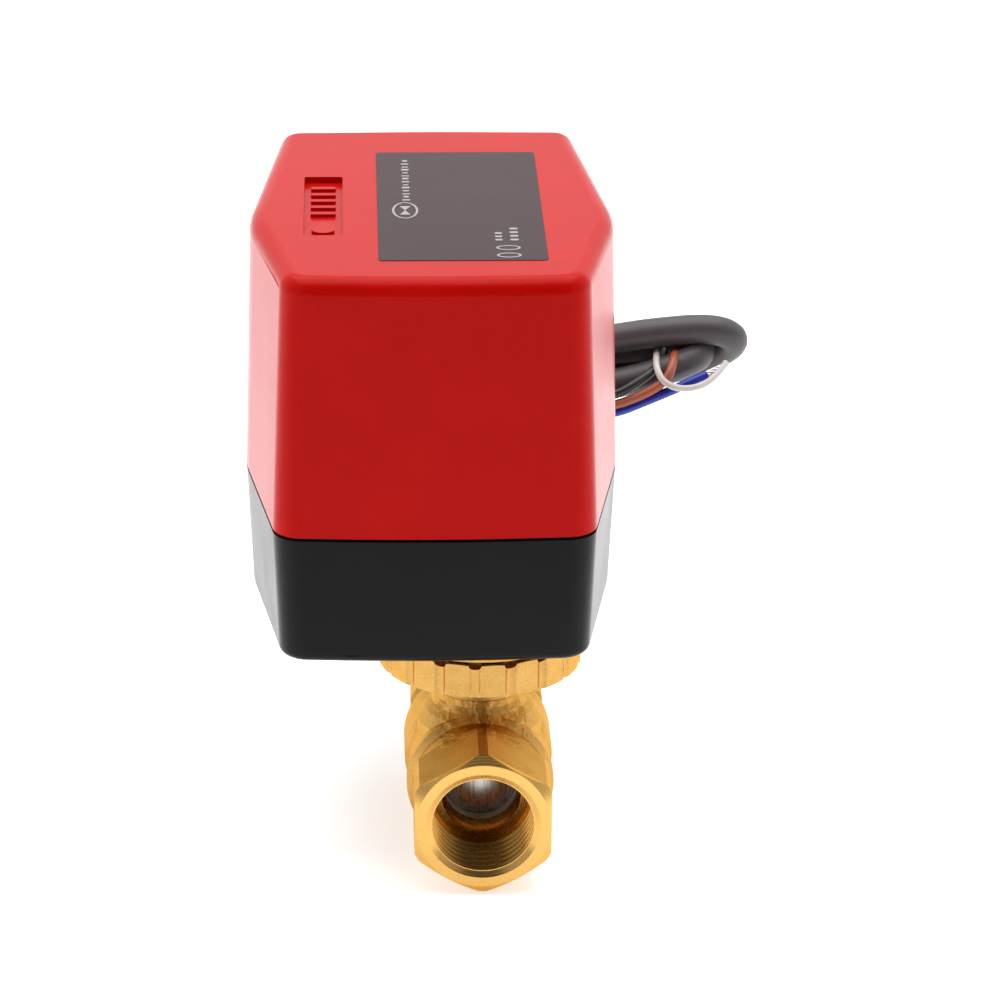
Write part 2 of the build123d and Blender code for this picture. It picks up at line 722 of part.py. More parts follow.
with BuildPart() as output_shaft:
    add(
        turned(
            (0, 26.5),
            (7.0, 26.5),
            (7.0, 28.3),
            (5.7, 28.3),
            (5.7, 29.8),
            (7.0, 29.8),
            (7.0, 35.7),
            (9.0, 35.7),
            (9.0, 37.0),
            (5.0, 37.0),
            (5.0, 57.5),
            (4.0, 57.5),
            (4.0, 70.0),
            (3.6, 70.4),
            (0, 70.4),
        )
    )
    add(block(-2.55, 2.55, STEM_Y - 2.55, STEM_Y + 2.55, 26.0, 31.3), mode=Mode.SUBTRACT)
finish(output_shaft, "output_shaft")

with BuildPart() as shaft_o_ring:
    with Locations((0, STEM_Y, 29.05)):
        Torus(6.38, 0.64)
finish(shaft_o_ring, "shaft_o_ring")

output_to_idler = direction(OUTPUT_AXIS, IDLER_AXIS)
idler_to_motor = direction(IDLER_AXIS, MOTOR_AXIS)
half_pinion_pitch = pi / PINION_TEETH

with BuildPart() as output_gear:
    extrude(gear_outline(OUTPUT_AXIS, 41.0, WHEEL_TEETH, output_to_idler), amount=4.5)
    add(disc(*OUTPUT_AXIS, 45.5, 46.8, 8.0))
    add(disc(*OUTPUT_AXIS, 40.0, 50.0, 5.0), mode=Mode.SUBTRACT)
finish(output_gear, "output_gear")

with BuildPart() as idler_gear:
    extrude(gear_outline(IDLER_AXIS, 40.5, PINION_TEETH, output_to_idler + pi + half_pinion_pitch), amount=6.5)
    extrude(gear_outline(IDLER_AXIS, 47.0, WHEEL_TEETH, idler_to_motor), amount=3.5)
    add(disc(*IDLER_AXIS, 39.3, 53.6, 3.0))
    add(disc(*IDLER_AXIS, 39.0, 54.0, 1.5 + RUNNING_GAP), mode=Mode.SUBTRACT)
finish(idler_gear, "idler_gear")

with BuildPart() as idler_axle:
    add(disc(*IDLER_AXIS, LOWER_PLATE[0], UPPER_PLATE[1], 1.5))
finish(idler_axle, "idler_axle")

# ---------------------------------------------------------------- motor

with BuildPart() as motor_pinion:
    extrude(gear_outline(MOTOR_AXIS, 46.5, PINION_TEETH, idler_to_motor + pi + half_pinion_pitch), amount=5.0)
    add(disc(*MOTOR_AXIS, 51.5, 53.5, 3.0))
    add(disc(*MOTOR_AXIS, 46.0, 54.0, 1.5), mode=Mode.SUBTRACT)
finish(motor_pinion, "motor_pinion")

with BuildPart() as motor_shaft:
    add(disc(*MOTOR_AXIS, 46.0, 61.5, 1.5))
finish(motor_shaft, "motor_shaft")

with BuildPart() as motor_end_plate:
    with BuildSketch(Plane.XY.offset(UPPER_PLATE[1])):
        with Locations(MOTOR_CENTRE):
            Circle(MOTOR_R)
        with Locations(MOTOR_AXIS):
            Circle(3.2, mode=Mode.SUBTRACT)
        with Locations(*MOTOR_SCREWS):
            Circle(1.25, mode=Mode.SUBTRACT)
    extrude(amount=MOTOR_BOTTOM - UPPER_PLATE[1])
finish(motor_end_plate, "motor_end_plate")

with BuildPart() as motor_screws:
    for x, y in MOTOR_SCREWS:
        add(disc(x, y, UPPER_PLATE[0] - 1.4, UPPER_PLATE[0], 2.2))
        add(disc(x, y, UPPER_PLATE[0] - 0.5, MOTOR_BOTTOM - 0.05, 1.2))
finish(motor_screws, "motor_screws")

with BuildPart() as motor_can:
    add(disc(*MOTOR_CENTRE, MOTOR_BOTTOM, MOTOR_TOP, MOTOR_R))
    fillet(motor_can.edges().group_by(Axis.Z)[-1], 1.5)
    add(disc(*MOTOR_CENTRE, MOTOR_BOTTOM, MOTOR_TOP - 0.8, MOTOR_R - 0.8), mode=Mode.SUBTRACT)
finish(motor_can, "motor_can")

with BuildPart() as motor_coil:
    add(disc(*MOTOR_CENTRE, 62.5, MOTOR_TOP - 0.8, MOTOR_R - 0.8, 12.0))
finish(motor_coil, "motor_coil")

# ---------------------------------------------------------------- cams and limit switches


def cam_outline(z, rising):
    """A spiral cam: its radius changes evenly over the quarter turn that meets the plunger."""
    low_angle, high_angle = 90.0 - CAM_MARGIN, 180.0 + CAM_MARGIN
    slope = CAM_LIFT / 90.0
    low_r, high_r = CAM_LOW_R - slope * CAM_MARGIN, CAM_LOW_R + slope * (90.0 + CAM_MARGIN)

    def spiral(start, end, start_r, end_r, steps):
        shares = [step / steps for step in range(steps + 1)]
        ends = [(start_r + (end_r - start_r) * s, radians(start + (end - start) * s)) for s in shares]
        return [(r * cos(angle), r * sin(angle)) for r, angle in ends]

    first_r, last_r = (low_r, high_r) if rising else (high_r, low_r)
    with BuildSketch(standing(*OUTPUT_AXIS, z)) as outline:
        with BuildLine():
            Spline(*spiral(low_angle, high_angle, first_r, last_r, 8))
            Spline(*spiral(high_angle, low_angle + 360, last_r, first_r, 20))
        make_face()
    return outline.sketch


for label, height in CAM_HEIGHTS.items():
    with BuildPart() as cam:
        extrude(cam_outline(height, rising=label == "closed"), amount=CAM_THICKNESS)
        add(disc(*OUTPUT_AXIS, height + CAM_THICKNESS, height + CAM_THICKNESS + 2.4, 6.0))
        add(disc(*OUTPUT_AXIS, height - 1, height + CAM_THICKNESS + 3, 4.0), mode=Mode.SUBTRACT)
    finish(cam, f"{label}_cam")

    middle = height + CAM_THICKNESS / 2
    low, high = middle - SWITCH_HEIGHT / 2, middle + SWITCH_HEIGHT / 2
    with BuildPart() as switch:
        add(block(SWITCH_FACE_X - SWITCH_DEPTH, SWITCH_FACE_X, *SWITCH_Y, low, high))
        fillet(switch.edges().filter_by(Axis.Z), 0.6)
        add(block(SWITCH_FACE_X - 4.0, SWITCH_FACE_X + 1, STEM_Y - 0.8, STEM_Y + 0.8, middle - 1.6, middle + 1.6),
            mode=Mode.SUBTRACT)
        for y in SWITCH_SCREW_Y:
            add(disc(SWITCH_FACE_X - 6.5, y, low - 1, high + 1, 1.15), mode=Mode.SUBTRACT)
    finish(switch, f"{label}_switch")

    contact_r = CAM_LOW_R + (CAM_LIFT if label == "closed" else 0.0) + PLUNGER_GAP
    with BuildPart() as plunger:
        add(block(-contact_r - 4.5, -contact_r, STEM_Y - 0.65, STEM_Y + 0.65, middle - 1.45, middle + 1.45))
        fillet(plunger.edges().group_by(Axis.X)[-1].filter_by(Axis.Z), 0.4)
    finish(plunger, f"{label}_plunger")

switch_low = CAM_HEIGHTS["closed"] + CAM_THICKNESS / 2 - SWITCH_HEIGHT / 2
switch_high = CAM_HEIGHTS["open"] + CAM_THICKNESS / 2 + SWITCH_HEIGHT / 2

with BuildPart() as switch_bracket:
    add(block(SWITCH_FACE_X - SWITCH_DEPTH, SWITCH_FACE_X, *SWITCH_Y, UPPER_PLATE[1], switch_low))
    for y in SWITCH_SCREW_Y:
        add(disc(SWITCH_FACE_X - 6.5, y, UPPER_PLATE[1] - 1, switch_low + 1, 1.1), mode=Mode.SUBTRACT)
finish(switch_bracket, "switch_bracket")

with BuildPart() as switch_screws:
    for y in SWITCH_SCREW_Y:
        add(disc(SWITCH_FACE_X - 6.5, y, UPPER_PLATE[1], switch_high + 0.2, 1.05))
        add(disc(SWITCH_FACE_X - 6.5, y, switch_high, switch_high + 1.4, 2.0))
finish(switch_screws, "switch_screws")

with BuildPart() as switch_terminals:
    for height in CAM_HEIGHTS.values():
        middle = height + CAM_THICKNESS / 2
        for y in TERMINAL_Y:
            back = SWITCH_FACE_X - SWITCH_DEPTH
            add(block(back - 3.2, back, y - 1.0, y + 1.0, middle - 0.25, middle + 0.25))
finish(switch_terminals, "switch_terminals")

# ---------------------------------------------------------------- control board

with BuildPart() as circuit_board:
    add(block(*BOARD, BOARD_BOTTOM, BOARD_TOP))
    for x, y in POSTS:
        add(disc(x, y, BOARD_BOTTOM - 1, BOARD_TOP + 1, 1.4), mode=Mode.SUBTRACT)
finish(circuit_board, "circuit_board")

with BuildPart() as board_screws:
    for x, y in POSTS:
        add(disc(x, y, BOARD_TOP, BOARD_TOP + 1.5, 2.3))
        add(disc(x, y, 74.0, BOARD_TOP + 0.5, 1.2))
finish(board_screws, "board_screws")

with BuildPart() as terminal_block:
    add(block(-22.0, -2.0, 71.0, 80.0, BOARD_TOP, BOARD_TOP + 10))
    for step in range(3):
        add(disc(-18.0 + 6.0 * step, 75.5, BOARD_TOP + 4, BOARD_TOP + 11, 2.0), mode=Mode.SUBTRACT)
        add(block(-19.5 + 6.0 * step, -16.5 + 6.0 * step, 77.0, 81.0, BOARD_TOP + 1, BOARD_TOP + 4),
            mode=Mode.SUBTRACT)
finish(terminal_block, "terminal_block")

with BuildPart() as terminal_screws:
    for step in range(3):
        x = -18.0 + 6.0 * step
        add(disc(x, 75.5, BOARD_TOP + 4, BOARD_TOP + 8, 1.8))
        add(block(x - 1.5, x + 1.5, 75.2, 75.8, BOARD_TOP + 7.3, BOARD_TOP + 9), mode=Mode.SUBTRACT)
finish(terminal_screws, "terminal_screws")

with BuildPart() as motor_capacitor:
    add(block(-17.0, 1.0, 44.0, 53.0, BOARD_TOP, BOARD_TOP + 13))
    fillet(motor_capacitor.edges().filter_by(Axis.Z), 1.0)
finish(motor_capacitor, "motor_capacitor")

# ---------------------------------------------------------------- cable

gland_plane = Plane(origin=(GLAND_X, GLAND_FACE, GLAND_Z), x_dir=(1, 0, 0), z_dir=(0, 1, 0))
with BuildPart() as cable_gland:
    with BuildSketch(gland_plane):
        RegularPolygon(8.0, 6)
    extrude(amount=2.6)
    with BuildSketch(gland_plane):
        Circle(6.2)
    extrude(amount=GLAND_END - GLAND_FACE, taper=6)
    with BuildSketch(gland_plane):
        Circle(5.0)
    extrude(amount=-7.2)
    with BuildSketch(gland_plane.offset(-8)):
        Circle(2.9)
    extrude(amount=20, mode=Mode.SUBTRACT)
finish(cable_gland, "cable_gland")

with BuildPart() as gland_nut:
    with BuildSketch(gland_plane.offset(-6.9)):
        RegularPolygon(6.9, 6)
        Circle(5.0, mode=Mode.SUBTRACT)
    extrude(amount=3.0)
finish(gland_nut, "gland_nut")

with BuildPart() as inner_leads:
    for step in range(3):
        x = -18.0 + 6.0 * step
        start_x = GLAND_X + 1.7 * (step - 1)
        rise = [(x, 89.2, 58.0), (x, 89.2, 78.0), (x, 86.5, 85.0), (x, 79.0, 84.2)]
        route = [(start_x, 95.9, GLAND_Z), (start_x, 85.6, GLAND_Z), (x, 85.6, 50.0), *rise]
        add(wire(route, 0.75))
finish(inner_leads, "inner_leads")

with BuildPart() as board_leads:
    for y in TERMINAL_Y:
        board_y = 31.5 + 0.6 * (y - TERMINAL_Y[0])
        add(wire([(-23.3, y, 60.2), (-25.2, y, 63.0), (-25.2, y, 70.0), (-23.0, board_y, 77.0), (-23.0, board_y, 80.0)], 0.6))
        add(wire([(-22.2, y, 66.7), (-22.2, y, 70.0), (-19.0, board_y, 77.0), (-19.0, board_y, 80.0)], 0.6))
    for x in (-4.0, 0.0):
        add(wire([(x, 43.0, MOTOR_TOP), (x, 43.0, 77.8), (x + 1.5, 41.5, 78.6), (x + 1.5, 41.5, BOARD_BOTTOM)], 0.6))
finish(board_leads, "board_leads")

with BuildPart() as cable_lead:
    add(tube(LEAD_ROUTE, CABLE_R, "cable_lead"))
finish(cable_lead, "cable_lead")


def hank_section(x, names, length, radius=CABLE_R):
    """The outline round some of the hank's strands, drawn out along X."""
    with BuildPart() as section:
        with BuildSketch(Plane(origin=(x, 0, 0), x_dir=(0, 1, 0), z_dir=(1, 0, 0))):
            with Locations(*[STRANDS[name] for name in names]):
                Circle(radius)
            make_hull()
        extrude(amount=length)
    return section.part


four = ["top", "back", "front", "bottom"]
with BuildPart() as cable_hank:
    add(hank_section(HANK_X[0], four + ["end"], HANK_END_STRAND_X - HANK_X[0]))
    add(hank_section(HANK_END_STRAND_X, four, HANK_X[1] - HANK_END_STRAND_X))
    # both ends are rounded, as the turns are
    with BuildSketch(Plane(origin=(0, 160, 0), x_dir=(1, 0, 0), z_dir=(0, -1, 0))):
        with Locations(((HANK_X[0] + HANK_X[1]) / 2, 38.5)):
            RectangleRounded(HANK_X[1] - HANK_X[0], 23.0, 9.0)
    extrude(amount=60, mode=Mode.INTERSECT)
finish(cable_hank, "cable_hank")

with BuildPart() as cable_tie:
    add(hank_section(TIE_X, four, 1.6, CABLE_R + TIE_THICKNESS))
    add(hank_section(TIE_X - 1, four, 4.0), mode=Mode.SUBTRACT)
    add(wire(TIE_TAIL, TIE_R))
finish(cable_tie, "cable_tie")

for colour, route in (("blue", BLUE_ROUTE), ("brown", BROWN_ROUTE), ("black", BLACK_ROUTE)):
    with BuildPart() as core:
        add(tube(route, CORE_R, f"{colour}_wire"))
    finish(core, f"{colour}_wire")

with BuildPart() as wire_tips:
    for colour, route in (("blue", BLUE_ROUTE), ("brown", BROWN_ROUTE), ("black", BLACK_ROUTE)):
        with BuildSketch(Plane(origin=route[-1], z_dir=Vector(*route[-1]) - Vector(*route[-2]))):
            Circle(STRAND_R)
        extrude(amount=STRIPPED[colour])
finish(wire_tips, "wire_tips")
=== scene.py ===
import json
from math import cos, pi, radians, sin

import bmesh
import bpy
from mathutils import Matrix, Vector


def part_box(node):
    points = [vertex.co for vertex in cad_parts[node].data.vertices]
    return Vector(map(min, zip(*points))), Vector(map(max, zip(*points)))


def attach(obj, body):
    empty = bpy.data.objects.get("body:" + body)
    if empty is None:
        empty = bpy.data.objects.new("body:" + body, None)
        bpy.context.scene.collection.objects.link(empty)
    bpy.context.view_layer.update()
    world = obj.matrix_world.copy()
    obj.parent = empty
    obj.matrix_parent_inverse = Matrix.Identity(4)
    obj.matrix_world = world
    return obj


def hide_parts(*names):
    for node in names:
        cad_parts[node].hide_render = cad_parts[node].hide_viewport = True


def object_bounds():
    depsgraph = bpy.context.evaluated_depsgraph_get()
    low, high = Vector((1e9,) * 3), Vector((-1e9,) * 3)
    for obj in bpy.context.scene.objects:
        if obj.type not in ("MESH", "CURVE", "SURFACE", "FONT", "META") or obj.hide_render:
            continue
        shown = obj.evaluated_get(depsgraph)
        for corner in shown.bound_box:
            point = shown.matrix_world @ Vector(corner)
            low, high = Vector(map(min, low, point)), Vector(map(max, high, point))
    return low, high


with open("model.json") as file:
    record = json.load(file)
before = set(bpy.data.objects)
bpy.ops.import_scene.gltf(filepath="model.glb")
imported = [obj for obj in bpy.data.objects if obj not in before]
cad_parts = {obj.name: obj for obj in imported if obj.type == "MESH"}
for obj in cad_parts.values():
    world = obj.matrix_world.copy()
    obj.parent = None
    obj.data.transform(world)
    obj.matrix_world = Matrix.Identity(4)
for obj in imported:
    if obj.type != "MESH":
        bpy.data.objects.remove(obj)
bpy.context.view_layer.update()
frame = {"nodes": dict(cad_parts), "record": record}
nodes = frame["nodes"]
scene = bpy.context.scene
MM = 0.001


def mm(*point):
    return Vector(point) * MM


# ---------------------------------------------------------------- camera

CAMERA_AT = mm(-23.98, -677.16, 347.83)
AZIMUTH, ELEVATION, ROLL = radians(-2.238), radians(22.686), radians(0.532)
forward = Vector((-sin(AZIMUTH) * cos(ELEVATION), cos(AZIMUTH) * cos(ELEVATION), -sin(ELEVATION)))
level = forward.cross(Vector((0, 0, 1))).normalized()
upright = level.cross(forward)
right = level * cos(ROLL) + upright * sin(ROLL)
up = upright * cos(ROLL) - level * sin(ROLL)

lens = bpy.data.cameras.new("camera")
lens.lens, lens.sensor_width, lens.clip_start, lens.clip_end = 149.9, 36.0, 0.01, 20.0
camera = bpy.data.objects.new("camera", lens)
scene.collection.objects.link(camera)
facing = Matrix((right, up, -forward)).transposed().to_4x4()
camera.matrix_world = Matrix.Translation(CAMERA_AT) @ facing
scene.camera = camera
scene.view_settings.view_transform = "Standard"


# ---------------------------------------------------------------- materials


class Finish:
    """A procedural material in the piece's own space. Sizes are in millimetres."""

    def __init__(self, name, colour, metallic=0.0, roughness=0.5, **sockets):
        self.material = bpy.data.materials.new(name)
        self.material.use_nodes = True
        self.tree = self.material.node_tree
        self.shader = self.tree.nodes["Principled BSDF"]
        self.place = self.node("ShaderNodeTexCoord").outputs["Object"]
        self.colour = (*colour, 1.0)
        self.shader.inputs["Base Color"].default_value = self.colour
        self.shader.inputs["Metallic"].default_value = metallic
        self.shader.inputs["Roughness"].default_value = roughness
        for socket, value in sockets.items():
            self.shader.inputs[socket.replace("_", " ")].default_value = value

    def node(self, kind, **settings):
        made = self.tree.nodes.new(kind)
        for key, value in settings.items():
            setattr(made, key, value)
        return made

    def feed(self, socket, value):
        if isinstance(value, bpy.types.NodeSocket):
            self.tree.links.new(value, socket)
        else:
            socket.default_value = value

    def noise(self, size, detail=3.0, stretch=(1, 1, 1), kind="ShaderNodeTexNoise"):
        scaled = self.node("ShaderNodeMapping")
        scaled.inputs["Scale"].default_value = [1000 / size * way for way in stretch]
        self.feed(scaled.inputs["Vector"], self.place)
        texture = self.node(kind)
        texture.inputs["Scale"].default_value = 1.0
        if kind == "ShaderNodeTexNoise":
            texture.inputs["Detail"].default_value = detail
        self.feed(texture.inputs["Vector"], scaled.outputs[0])
        return texture.outputs[0]

    def math(self, operation, first, second=0.0):
        made = self.node("ShaderNodeMath", operation=operation)
        self.feed(made.inputs[0], first)
        self.feed(made.inputs[1], second)
        return made.outputs[0]

    def axis(self, name, centre=0.0):
        """A coordinate in millimetres, from that centre."""
        split = self.node("ShaderNodeSeparateXYZ")
        self.feed(split.inputs[0], self.place)
        return self.math("SUBTRACT", self.math("MULTIPLY", split.outputs[name], 1000.0), centre)

    def distance(self, first, second):
        squares = [self.math("POWER", value, 2.0) for value in (first, second)]
        return self.math("SQRT", self.math("ADD", *squares))

    def span(self, value, low, high, top=1.0):
        """0 below low, top above high, smooth between them."""
        made = self.node("ShaderNodeMapRange", interpolation_type="SMOOTHSTEP")
        self.feed(made.inputs["Value"], value)
        made.inputs["From Min"].default_value, made.inputs["From Max"].default_value = low, high
        made.inputs["To Max"].default_value = top
        return made.outputs[0]

    def tint(self, factor, colour):
        made = self.node("ShaderNodeMix", data_type="RGBA")
        self.feed(made.inputs["Factor"], factor)
        self.feed(made.inputs["A"], self.colour)
        self.feed(made.inputs["B"], (*colour, 1.0))
        self.colour = made.outputs["Result"]
        self.feed(self.shader.inputs["Base Color"], self.colour)

    def roughen(self, factor, low, high):
        made = self.node("ShaderNodeMapRange")
        self.feed(made.inputs["Value"], factor)
        made.inputs["To Min"].default_value, made.inputs["To Max"].default_value = low, high
        self.feed(self.shader.inputs["Roughness"], made.outputs[0])

    def bump(self, height, depth, strength=1.0):
        made = self.node("ShaderNodeBump")
        made.inputs["Distance"].default_value = depth * MM
        self.feed(made.inputs["Strength"], strength)
        self.feed(made.inputs["Height"], height)
        links = self.shader.inputs["Normal"].links
        if links:
            self.feed(made.inputs["Normal"], links[0].from_socket)
        self.feed(self.shader.inputs["Normal"], made.outputs[0])


def moulded(name, colour, roughness=0.42, grain=0.45, depth=0.02, lighter=0.25, **sockets):
    """Plastic with the fine spark-eroded grain of a mould and faint flow marks."""
    made = Finish(name, colour, roughness=roughness, **sockets)
    cloud = made.noise(14.0, 4.0)
    paler = [min(1.0, c * 1.25 + 0.003) for c in colour]
    made.tint(made.math("MULTIPLY", made.span(cloud, 0.4, 0.75), lighter), paler)
    made.roughen(cloud, roughness - 0.05, roughness + 0.06)
    made.bump(made.noise(grain, 2.0), depth)
    made.bump(cloud, 0.05)
    return made


def turned_metal(name, colour, roughness=0.3, lines=0.25, stretch=(1, 1, 12), depth=0.006, **sockets):
    """Machined metal: fine tool lines, with cloudy handling marks."""
    made = Finish(name, colour, metallic=1.0, roughness=roughness, **sockets)
    cloud = made.noise(5.0, 5.0)
    made.tint(made.math("MULTIPLY", made.span(cloud, 0.45, 0.8), 0.35), [c * 0.72 for c in colour])
    made.roughen(cloud, roughness - 0.08, roughness + 0.12)
    made.bump(made.noise(lines, 2.0, stretch), depth)
    return made


BRASS = (0.62, 0.357, 0.102)
STEM_Y = 27.0
# within these radii of the pipe axis the brass is machined, or is painted darker as painted shade of
# the bore
MACHINED_R, SHADED_BORE_R = 11.6, 10.9


def brass(name, pipe_faces=None, stained=False):
    """Bead-blasted brass. Where it is machined, it is brighter and carries turning rings."""
    made = Finish(name, BRASS, metallic=1.0, Specular_Tint=(0.98, 0.74, 0.42, 1.0))
    grain = made.noise(0.32, 3.0)
    cloud = made.noise(4.5, 4.0)
    made.tint(made.math("MULTIPLY", made.span(cloud, 0.4, 0.72), 0.5), (0.49, 0.265, 0.062))
    made.tint(made.math("MULTIPLY", made.span(grain, 0.56, 0.78), 0.6), (0.82, 0.58, 0.27))
    made.tint(made.math("MULTIPLY", made.span(grain, 0.42, 0.26), 0.5), (0.27, 0.125, 0.024))
    if pipe_faces is None:
        made.roughen(grain, 0.30, 0.46)
        made.bump(cloud, 0.10)
        made.bump(grain, 0.07)
        return made

    low, high = pipe_faces
    along = made.axis("Y")
    outward = made.distance(made.axis("X"), made.axis("Z"))
    ends = made.math(
        "MAXIMUM", made.math("LESS_THAN", along, low), made.math("GREATER_THAN", along, high)
    )
    machined = made.math("MAXIMUM", ends, made.math("LESS_THAN", outward, MACHINED_R))
    blasted = made.math("SUBTRACT", 1.0, machined)
    if stained:
        stem_r = made.distance(made.axis("X"), made.axis("Y", STEM_Y))
        height = made.axis("Z")
        casting = made.math("MULTIPLY", made.span(height, 8.0, 11.0), made.span(height, 16.9, 16.0))
        casting = made.math("MULTIPLY", casting, made.span(stem_r, 19.0, 15.5))
        lumps = made.noise(1.5, 6.0, (1, 1, 0.6))
        patches = made.span(lumps, 0.42, 0.62)
        aside = made.math("ABSOLUTE", made.axis("X", 0.6))
        uneven = made.math("ADD", aside, made.math("MULTIPLY", lumps, -9.0))
        brown = made.math("MULTIPLY", made.span(uneven, 4.2, 1.2), casting)
        made.tint(made.math("MULTIPLY", brown, 0.4), (0.56, 0.29, 0.050))
        brown_patches = made.math("MULTIPLY", brown, patches)
        made.tint(made.math("MULTIPLY", brown_patches, 0.45), (0.34, 0.14, 0.018))
        off_seam = made.math("ADD", aside, made.math("MULTIPLY", patches, -0.7))
        seam = made.math("MULTIPLY", made.span(off_seam, 1.5, 0.1), casting)
        made.tint(made.math("MULTIPLY", seam, 0.5), (0.28, 0.11, 0.015))
        made.bump(made.math("MULTIPLY", lumps, brown), 0.35)
        made.bump(seam, 0.15)
    made.tint(made.math("MULTIPLY", machined, 0.75), (0.77, 0.455, 0.13))
    # painted shade: inside the bore, away from the end faces, the brass colour is painted darker
    off_faces = made.math("MAXIMUM", outward, made.math("MULTIPLY", ends, 20.0))
    painted_bore_shade = made.math("LESS_THAN", off_faces, SHADED_BORE_R)
    made.tint(made.math("MULTIPLY", painted_bore_shade, 0.7), (0.50, 0.24, 0.045))
    rings = made.math("SINE", made.math("MULTIPLY", outward, 2 * pi / 0.42))
    smears = made.noise(1.2, 4.0, (1, 4, 1))
    uneven_gloss = made.math("ADD", blasted, made.math("MULTIPLY", smears, 0.35))
    made.roughen(made.math("MULTIPLY", uneven_gloss, 0.74), 0.24, 0.46)
    made.bump(cloud, 0.12, blasted)
    made.bump(grain, 0.08, blasted)
    made.bump(rings, 0.004, machined)
    return made


def chrome_ball():
    """Plated ball, seen through a port, with upright polishing streaks in its gloss and bumps; along
    them its colour is painted darker and lighter as painted reflections.
    """
    made = Finish("chromed ball", (0.70, 0.67, 0.64), metallic=1.0)
    polish_streaks_and_painted_reflections = made.noise(0.55, 4.0, (1, 1, 0.06))
    # painted reflections: dark and light upright streaks painted into the ball's colour
    made.tint(made.math("MULTIPLY", made.span(polish_streaks_and_painted_reflections, 0.45, 0.62), 0.8), (0.44, 0.36, 0.31))
    made.tint(made.math("MULTIPLY", made.span(polish_streaks_and_painted_reflections, 0.42, 0.30), 0.8), (0.86, 0.83, 0.80))
    made.roughen(polish_streaks_and_painted_reflections, 0.30, 0.46)
    made.bump(polish_streaks_and_painted_reflections, 0.01)
    return made


def wire_skin(name, colour, roughness=0.35, dust=0.3, **sockets):
    """PVC skin: slightly uneven gloss, faint extrusion waves and a little dust."""
    made = Finish(name, colour, roughness=roughness, **sockets)
    waves = made.noise(2.2, 4.0)
    dusty = [c * 0.8 + 0.03 for c in colour]
    made.tint(made.math("MULTIPLY", made.span(waves, 0.45, 0.8), dust), dusty)
    made.roughen(waves, roughness - 0.06, roughness + 0.14)
    made.bump(waves, 0.03)
    made.bump(made.noise(0.25, 2.0), 0.006)
    return made


def board_laminate():
    """Solder-masked laminate with the faint lines of its tracks."""
    made = Finish("board laminate", (0.02, 0.16, 0.07), roughness=0.35)
    tracks = made.noise(3.2, kind="ShaderNodeTexVoronoi")
    made.tint(made.math("MULTIPLY", made.span(tracks, 0.22, 0.26), 0.5), (0.03, 0.26, 0.11))
    made.bump(tracks, 0.03)
    return made


FINISHES = {
    "brass": brass("brass, plain"),
    "chromed_brass": chrome_ball(),
    "red_plastic": moulded(
        "red moulding",
        (0.515, 0.0030, 0.0014),
        roughness=0.20,
        depth=0.010,
        Specular_IOR_Level=0.085,
        Sheen_Weight=0.05,
        Sheen_Roughness=0.35,
        Sheen_Tint=(1.0, 0.80, 0.76, 1.0),
    ),
    "black_plastic": moulded(
        "black moulding",
        (0.0056, 0.0048, 0.0046),
        roughness=0.24,
        depth=0.012,
        Specular_IOR_Level=0.13,
        Sheen_Weight=0.03,
        Sheen_Roughness=0.35,
        Sheen_Tint=(1.0, 0.90, 0.88, 1.0),
    ),
    "label_film": moulded(
        "label film",
        (0.029, 0.007, 0.009),
        roughness=0.24,
        grain=0.9,
        depth=0.004,
        Specular_IOR_Level=0.145,
        Specular_Tint=(1.0, 0.82, 0.84, 1.0),
    ),
    "seal_rubber": moulded("seal rubber", (0.012, 0.012, 0.012), roughness=0.6, grain=0.3),
    "ptfe": moulded("seat plastic", (0.84, 0.83, 0.79), roughness=0.45, grain=0.8, depth=0.01),
    "stainless_steel": turned_metal("stainless steel", (0.60, 0.59, 0.57), roughness=0.25),
    "spring_steel": turned_metal("spring steel", (0.16, 0.16, 0.165), roughness=0.42),
    "zinc_steel": turned_metal("zinc plate", (0.66, 0.67, 0.69), roughness=0.34, stretch=(1, 1, 1)),
    "sintered_steel": turned_metal(
        "gear steel", (0.38, 0.37, 0.36), roughness=0.42, lines=0.4, stretch=(1, 1, 1)
    ),
    "gear_nylon": moulded("bracket nylon", (0.72, 0.69, 0.60), roughness=0.45),
    "motor_steel": turned_metal("motor can", (0.60, 0.61, 0.62), roughness=0.36, stretch=(1, 1, 8)),
    "coil_copper": turned_metal(
        "winding", (0.62, 0.23, 0.09), roughness=0.35, lines=0.5, stretch=(0.1, 0.1, 3), depth=0.08
    ),
    "switch_case": moulded("switch case", (0.010, 0.010, 0.011), roughness=0.45),
    "plunger_red": moulded("switch button", (0.45, 0.02, 0.015), roughness=0.35),
    "cam_plastic": moulded("cam plastic", (0.78, 0.77, 0.72), roughness=0.4),
    "board_laminate": board_laminate(),
    "terminal_green": moulded("terminal block", (0.02, 0.20, 0.07), roughness=0.4),
    "capacitor_yellow": moulded("capacitor case", (0.66, 0.38, 0.03), roughness=0.3),
    "lead_insulation": wire_skin("inner leads", (0.55, 0.55, 0.53)),
    "black_sheath": wire_skin("cable sheath", (0.068, 0.060, 0.063), roughness=0.42),
    "blue_insulation": wire_skin("blue core", (0.004, 0.022, 0.34), roughness=0.3),
    "brown_insulation": wire_skin("brown core", (0.36, 0.085, 0.035), roughness=0.32),
    "black_insulation": wire_skin("black core", (0.015, 0.014, 0.014), roughness=0.32),
    "tie_skin": wire_skin("tie skin", (0.62, 0.60, 0.57), roughness=0.28, dust=0.5),
    "tinned_copper": turned_metal("tinned copper", (0.74, 0.71, 0.68), roughness=0.3, lines=0.2),
}

for part in frame["record"]["subparts"]:
    materials = nodes[part["node"]].data.materials
    materials.clear()
    materials.append(FINISHES[part["material_slot"]].material)

for name, finish in (
    ("valve_body", brass("brass, valve body", pipe_faces=(1.3, 100.0), stained=True)),
    ("end_connector", brass("brass, end connector", pipe_faces=(-100.0, 52.7))),
):
    nodes[name].data.materials[0] = finish.material


# ---------------------------------------------------------------- cable

